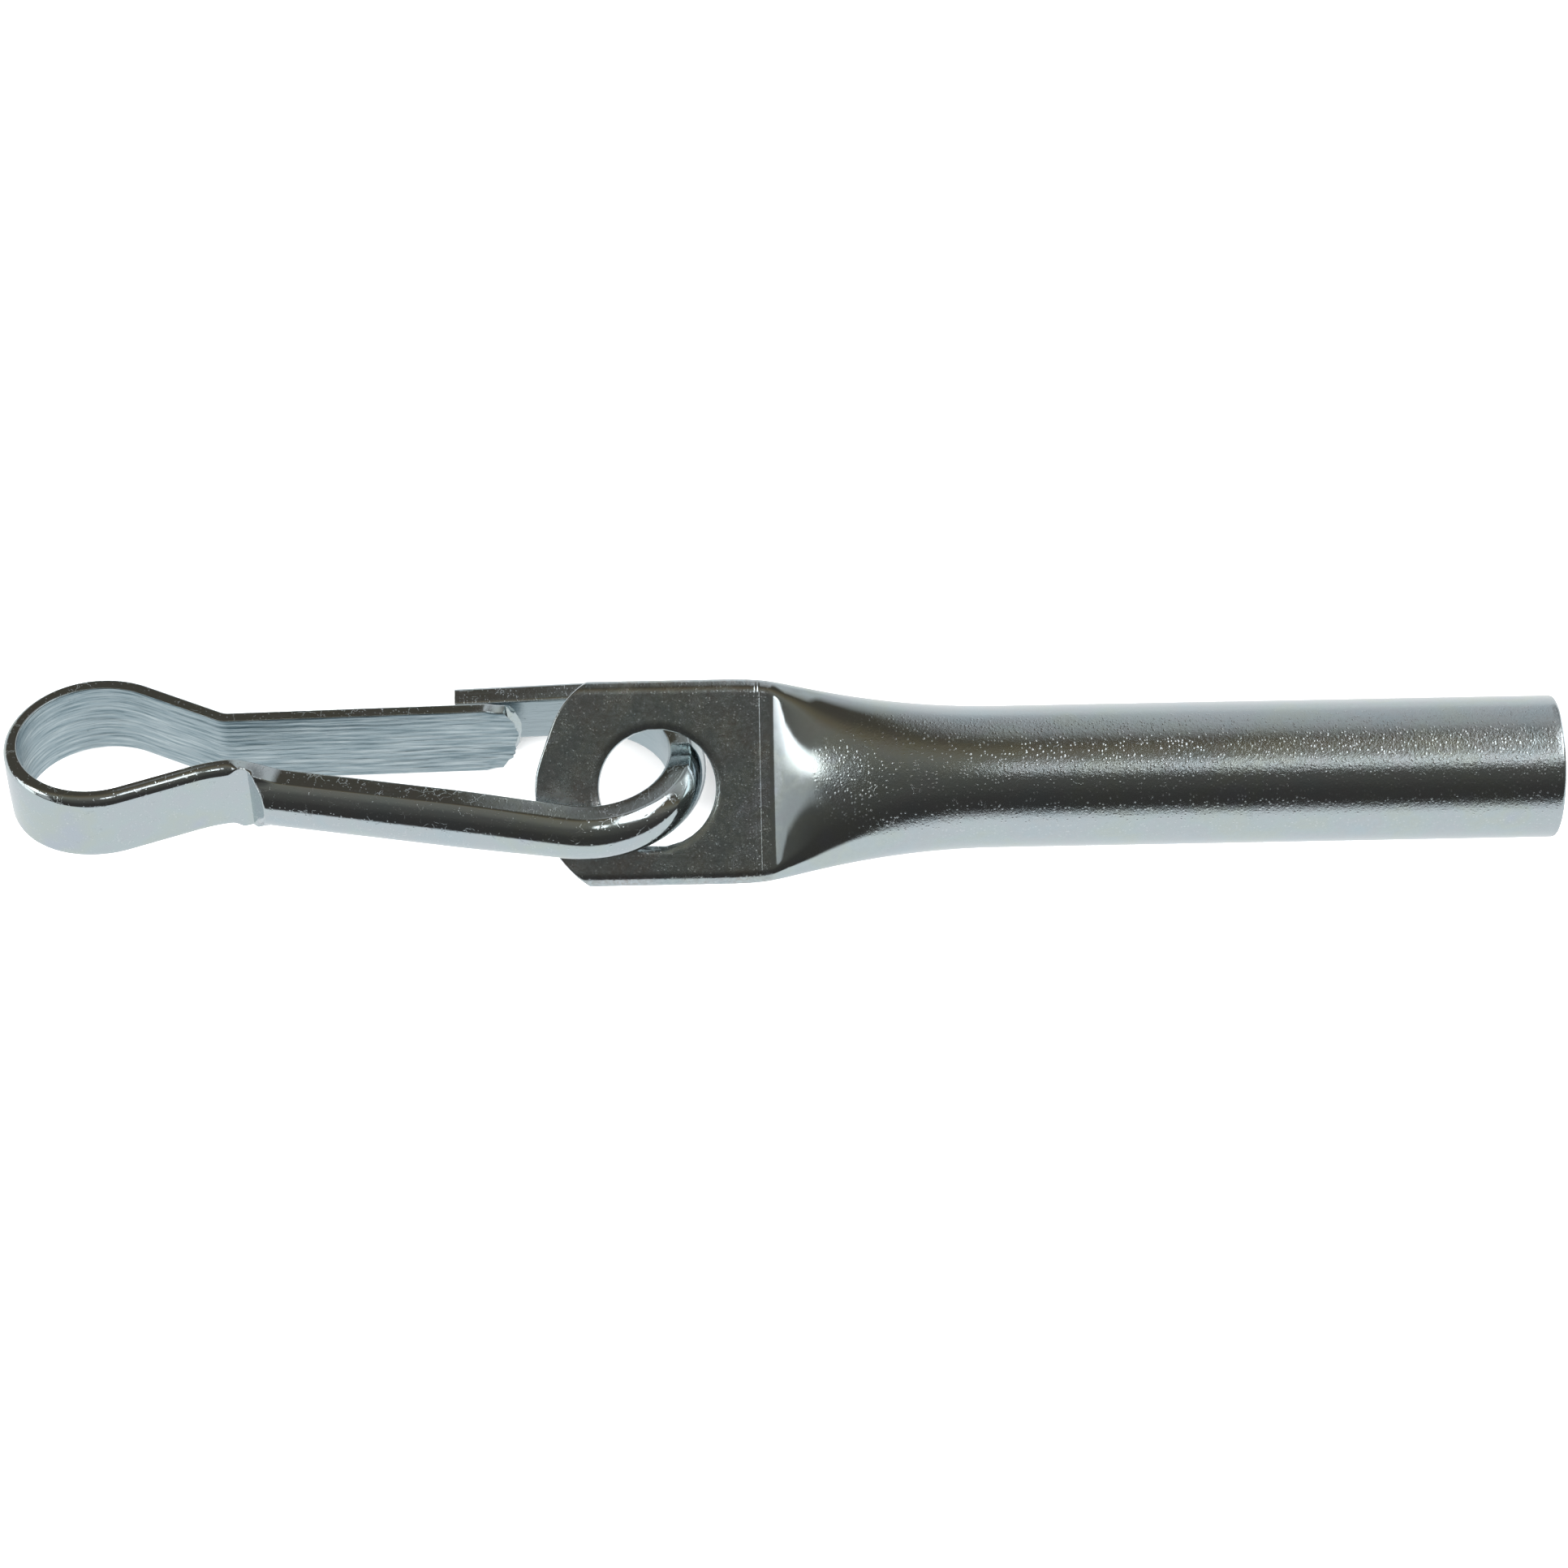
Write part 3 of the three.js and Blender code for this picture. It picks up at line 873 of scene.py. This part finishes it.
def tube_zinc():
    """Bright zinc over drawn tube: pitted, with painted glints, where it faces up; stained, and with a hazy
    painted reflection, on the pressed plate.
    """
    material = new_material("zinc_on_tube")
    shade = Shade(material)
    place = shade.node("ShaderNodeAttribute", attribute_name="path").outputs["Vector"]
    parts = shade.node("ShaderNodeSeparateXYZ", {"Vector": place}).outputs
    plate = shade.range(parts["X"], CREASE_DISTANCE * MM, (CREASE_DISTANCE - 0.4) * MM)
    end = shade.range(parts["X"], (TUBE_END - 22) * MM, TUBE_END * MM)

    # Pits and scratches are painted white as glints, on top of their bumps and roughness.
    upper = shade.range(parts["Z"], PITS_AND_GLINTS_FROM, PITS_AND_GLINTS_FULL)
    pitted_and_glinting = shade.range(plate, 0.0, 1.0, upper, PLATE_PITS_AND_GLINTS)
    dots = specks(shade, place, *TUBE_SPECKS)
    fine_dots = specks(shade, place, *TUBE_FINE_SPECKS)
    marks = shade.math("MULTIPLY", hairlines(shade, place, *TUBE_SCRATCHES), SCRATCH_STRENGTH)
    specks_and_glints = shade.math("MAXIMUM", dots, shade.math("MULTIPLY", fine_dots, 0.75))
    specks_and_glints = shade.math("MAXIMUM", specks_and_glints, marks)
    patchy = shade.range(shade.noise(place, 60.0, 3.0), 0.35, 0.62, 0.45, 1.0)
    specks_and_glints = shade.math("MULTIPLY", specks_and_glints, shade.math("MULTIPLY", patchy, pitted_and_glinting))

    haze = shade.range(shade.noise(place, 260.0, 6.0, 0.75), 0.45, 0.7)
    haze = shade.math("MULTIPLY", haze, shade.range(plate, 0.0, 1.0, TUBE_HAZE, PLATE_HAZE))
    rough = shade.math("ADD", haze, shade.range(plate, 0.0, 1.0, TUBE_ROUGHNESS, PLATE_ROUGHNESS))
    rough = shade.math("ADD", rough, shade.math("MULTIPLY", specks_and_glints, SPECK_ROUGHNESS))
    rough = shade.math("ADD", rough, shade.math("MULTIPLY", end, TUBE_END_ROUGHNESS))
    colour = shade.mix(shade.math("MULTIPLY", specks_and_glints, 0.8), tinted(shade, place, ZINC), PAINTED_LIGHT_WHITE)

    # Painted reflection: the plate's tip is painted lighter on one side of the eye, and made rougher there.
    hazy_reflection = shade.math("MULTIPLY", shade.range(parts["X"], REFLECTION_FROM_X, REFLECTION_FULL_X), plate)
    hazy_reflection = shade.math("MULTIPLY", hazy_reflection, shade.range(parts["Y"], REFLECTION_FROM_Y, REFLECTION_FULL_Y))
    hazy_reflection = shade.math("MULTIPLY", hazy_reflection, shade.range(shade.noise(place, 500.0, 3.0), 0.3, 0.6))
    rough = shade.math("ADD", rough, shade.math("MULTIPLY", hazy_reflection, REFLECTION_HAZE_ROUGHNESS))
    colour = shade.mix(shade.math("MULTIPLY", hazy_reflection, 0.6), colour, PAINTED_LIGHT_WHITE)

    # The plating is thin and dull inside the bore.
    spoke = shade.stretch(place, (0.0, 1.0, 1.0))
    radius = shade.node("ShaderNodeVectorMath", {0: spoke}, operation="LENGTH").outputs["Value"]
    bore = shade.range(radius, (TUBE_RADIUS - TUBE_WALL / 2) * MM, (TUBE_RADIUS - TUBE_WALL * 0.8) * MM)
    straight = (CREASE_DISTANCE + FLARE_LENGTH) * MM
    bore = shade.math("MULTIPLY", bore, shade.range(parts["X"], straight - MM, straight))
    rough = shade.math("ADD", rough, shade.math("MULTIPLY", bore, BORE_ROUGHNESS))
    colour = shade.mix(bore, colour, BORE_GREY)

    grime = shade.range(shade.noise(place, 1500.0, 5.0, 0.75), 0.35, 0.65)
    grime = shade.math("MULTIPLY", grime, shade.range(plate, 0.0, 1.0, 0.1, 0.55))
    stain = shade.range(shade.noise(place, 180.0, 3.0), 0.4, 0.6)
    colour = shade.mix(grime, colour, shade.mix(stain, BROWN_STAIN, TEAL_STAIN))

    ripple = shade.math("MULTIPLY", shade.noise(place, 2900.0, 4.0, 0.7), pitted_and_glinting)
    height = shade.math("ADD", shade.math("MULTIPLY", ripple, 1.1), specks_and_glints)
    finish_zinc(shade, colour, rough, height, TUBE_RELIEF)
    return material


def clip_zinc(name, streaks_length):
    """Bright zinc over a rolled bar. The inner face is duller, and streaky for streaks_length."""
    material = new_material(name)
    shade = Shade(material)
    path = shade.node("ShaderNodeAttribute", attribute_name="path").outputs["Vector"]
    parts = shade.node("ShaderNodeSeparateXYZ", {"Vector": path}).outputs
    inner = shade.range(parts["Z"], 0.12 * MM, 0.05 * MM)

    streaks = drawn_lines(shade, path, 170.0, 3300.0)
    broad = drawn_lines(shade, path, 60.0, 600.0)
    streaks = shade.math("MULTIPLY", streaks, 0.75)
    drawn = shade.math("ADD", streaks, shade.math("MULTIPLY", broad, 0.25))
    streaky = shade.ramp(
        drawn,
        [
            (0.38, (0.55, 0.62, 0.65)),
            (0.46, (0.86, 0.91, 0.93)),
            (0.54, (1.04, 1.05, 1.05)),
            (0.62, (1.38, 1.34, 1.31)),
        ],
    )
    streaked = shade.range(parts["X"], (streaks_length + STREAKS_FADE) * MM, streaks_length * MM)
    rolled = shade.mix(streaked, ROLLED_ZINC, shade.mix(1.0, ROLLED_ZINC, streaky, "MULTIPLY"))

    dots = specks(shade, path, *CLIP_SPECKS)
    fine_dots = shade.math("MULTIPLY", specks(shade, path, *CLIP_FINE_SPECKS), 0.5)
    marks = shade.math("MULTIPLY", hairlines(shade, path, *CLIP_SCRATCHES), SCRATCH_STRENGTH)
    specks_and_glints = shade.math("MAXIMUM", marks, shade.math("MAXIMUM", dots, fine_dots))
    # Specks and scratches are painted white as glints, on top of their bumps and roughness.
    outside = shade.mix(shade.math("MULTIPLY", specks_and_glints, 0.75), tinted(shade, path, ZINC), PAINTED_LIGHT_WHITE)
    colour = shade.mix(inner, outside, rolled)

    haze = shade.range(drawn_lines(shade, path, 200.0, 1500.0), 0.5, 0.75, 0.0, CLIP_HAZE)
    plain = shade.math("ADD", haze, CLIP_ROUGHNESS)
    plain = shade.math("ADD", plain, shade.math("MULTIPLY", specks_and_glints, CLIP_SPECK_ROUGHNESS))
    rough = shade.math("ADD", shade.range(inner, 0.0, 1.0, 0.0, ROLLED_FACE_ROUGHNESS), plain)

    relief = shade.math("MULTIPLY", shade.math("MULTIPLY", drawn, 4.0), inner)
    ripple = shade.math("MULTIPLY", shade.noise(path, 1700.0, 3.0, 0.6), 0.3)
    height = shade.math("ADD", relief, shade.math("ADD", ripple, specks_and_glints))
    finish_zinc(shade, colour, rough, height, CLIP_RELIEF)
    return material


zinc_tube = tube_zinc()
zinc_clip = clip_zinc("zinc_on_clip", CLIP_STREAKS_LENGTH)
zinc_gate = clip_zinc("zinc_on_gate", GATE_STREAKS_LENGTH)


# --- Pieces ---------------------------------------------------------------------------------------

tube = tube_shank().object("tube_shank_fine", tube_place)
tube.data.materials.append(zinc_tube)
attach(tube, "shank")
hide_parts("tube_shank")

clip = clip_frame_skin().object("clip_frame_fine", clip_place)
clip.data.materials.append(zinc_clip)
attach(clip, "clip")
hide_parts("clip_frame")

gate = gate_skin().object("gate_arm_fine", clip_place)
gate.data.materials.append(zinc_gate)
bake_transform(gate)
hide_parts("gate_arm")


# --- Studio ---------------------------------------------------------------------------------------

CAMERA_HEIGHT = 416.0 * MM
CAMERA_ALONG = 14.248 * MM
CAMERA_TURN = -1.086 * DEGREE
CAMERA_LOWER = 0.395 * MM
LENS = 84.8
FLOOR_HALF = 3.0
FLOOR_DROP = 0.15 * MM
FLOOR_WHITE = (0.9, 0.9, 0.9)
LIGHT_HEIGHT = 1.6
LIGHT_SIZE = (2.4, 2.4)
LIGHT_POWER = 175.0

floor_mesh = bpy.data.meshes.new("floor")
corners = [(x * FLOOR_HALF, y * FLOOR_HALF, 0) for x, y in ((-1, -1), (1, -1), (1, 1), (-1, 1))]
floor_mesh.from_pydata(corners, [], [(0, 1, 2, 3)])
floor = bpy.data.objects.new("floor", floor_mesh)
floor.location.z = -FLOOR_DROP
bpy.context.scene.collection.objects.link(floor)
floor_material = new_material("floor")
floor_shade = Shade(floor_material)
floor_surface = floor_shade.node(
    "ShaderNodeBsdfPrincipled", {"Base Color": (*FLOOR_WHITE, 1), "Roughness": 0.9}
)
floor_shade.node("ShaderNodeOutputMaterial", {"Surface": floor_surface.outputs["BSDF"]})
floor.data.materials.append(floor_material)

camera = bpy.data.objects.new("camera", bpy.data.cameras.new("camera"))
bpy.context.scene.collection.objects.link(camera)
camera.data.lens = LENS
camera.data.sensor_width = 36.0
camera.location = (eye.x + CAMERA_ALONG, tube_axis_y - CAMERA_LOWER, eye.z + CAMERA_HEIGHT)
camera.rotation_euler = (0, 0, CAMERA_TURN)
camera.data.clip_start = 0.01
bpy.context.scene.camera = camera


light_data = bpy.data.lights.new("overhead", "AREA")
light_data.shape = "RECTANGLE"
light_data.size, light_data.size_y = LIGHT_SIZE
light_data.energy = LIGHT_POWER
overhead = bpy.data.objects.new("overhead", light_data)
bpy.context.scene.collection.objects.link(overhead)
overhead.location.z = LIGHT_HEIGHT
overhead.visible_camera = False
overhead.visible_glossy = False
floor.visible_glossy = False

# What the bright zinc mirrors: a dark ceiling with lamps in it, and a white surround. A direction is
# given by "up", degrees from overhead towards the far side, and "side", degrees to the right.
CEILING_NEAR_EDGE = -64.0
CEILING_FAR_EDGE = 64.0
CEILING_TONES = (
    (-64, (0.05, 0.046, 0.044)),
    (-30, (0.06, 0.056, 0.052)),
    (-12, (0.10, 0.095, 0.085)),
    (0, (0.115, 0.11, 0.10)),
    (14, (0.20, 0.19, 0.165)),
    (28, (0.235, 0.215, 0.18)),
    (42, (0.19, 0.155, 0.105)),
    (57, (0.10, 0.085, 0.065)),
)
FAR_WALL_TONES = (
    (64, (0.30, 0.29, 0.27)),
    (70, (0.43, 0.42, 0.41)),
    (86, (0.62, 0.63, 0.63)),
    (112, (0.66, 0.67, 0.68)),
    (126, (0.86, 0.87, 0.87)),
    (145, (1.0, 1.0, 1.0)),
)
FAR_WALL_LEFT = (0.09, 0.078, 0.062)
NEAR_WALL = (0.93, 0.95, 0.96)
LAMPS = (
    # up from, to, side from, to, softness, brightness
    (-50.0, 2.0, -60.0, -47.0, 4.0, 0.5),
    (4.0, 40.0, -62.0, -45.0, 3.0, 2.8),
    (9.5, 16.0, 7.0, 13.0, 3.0, 2.5),
    (84.0, 118.0, 16.0, 38.0, 4.0, 0.32),
    (18.0, 60.0, 21.0, 44.0, 5.0, 2.8),
    (90.0, 145.0, 50.0, 70.0, 5.0, 2.0),
    (-70.0, 70.0, -90.0, -68.0, 4.0, 1.7),
)
BELOW = (0.30, 0.32, 0.33)
SURROUND = (0.9, 0.9, 0.9)

world = bpy.data.worlds.new("studio")
bpy.context.scene.world = world
world.use_nodes = True
sky = Shade(world)
direction = sky.node("ShaderNodeTexCoord").outputs["Generated"]
parts = sky.node("ShaderNodeSeparateXYZ", {"Vector": direction}).outputs
up = sky.math("MULTIPLY", sky.math("ARCTAN2", parts["Y"], parts["Z"]), 180 / math.pi)
side = sky.math("MULTIPLY", sky.math("ARCSINE", parts["X"]), 180 / math.pi)


def tones(value, stops):
    first, last = stops[0][0], stops[-1][0]
    placed = [((at - first) / (last - first), colour) for at, colour in stops]
    return sky.ramp(sky.range(value, first, last), placed)


def within(value, low, high, softness):
    rising = sky.range(value, low - softness, low)
    falling = sky.range(value, high + softness, high)
    return sky.math("MULTIPLY", rising, falling)


ceiling = tones(up, CEILING_TONES)
far_wall = tones(up, FAR_WALL_TONES)
leftwards = sky.math("MULTIPLY", sky.range(side, 5.0, -3.0), sky.range(up, 120.0, 104.0))
far_wall = sky.mix(leftwards, far_wall, FAR_WALL_LEFT)
seen = sky.mix(sky.range(up, CEILING_FAR_EDGE - 5, CEILING_FAR_EDGE), ceiling, far_wall)
seen = sky.mix(sky.range(up, CEILING_NEAR_EDGE + 3, CEILING_NEAR_EDGE - 3), seen, NEAR_WALL)
for up_from, up_to, side_from, side_to, softness, brightness in LAMPS:
    along = within(up, up_from, up_to, softness)
    inside = sky.math("MULTIPLY", along, within(side, side_from, side_to, softness))
    seen = sky.mix(inside, seen, (brightness, brightness, brightness))
below = sky.math("MULTIPLY", sky.range(parts["Z"], -0.80, -0.9), sky.range(parts["X"], 0.22, 0.4))
seen = sky.mix(below, seen, BELOW)
path_kind = sky.node("ShaderNodeLightPath")
plain = sky.mix(path_kind.outputs["Is Glossy Ray"], SURROUND, seen)
background = sky.node("ShaderNodeBackground", {"Color": plain, "Strength": 1.0})
sky.node("ShaderNodeOutputWorld", {"Surface": background.outputs["Background"]})

bpy.context.scene.view_settings.view_transform = "Standard"
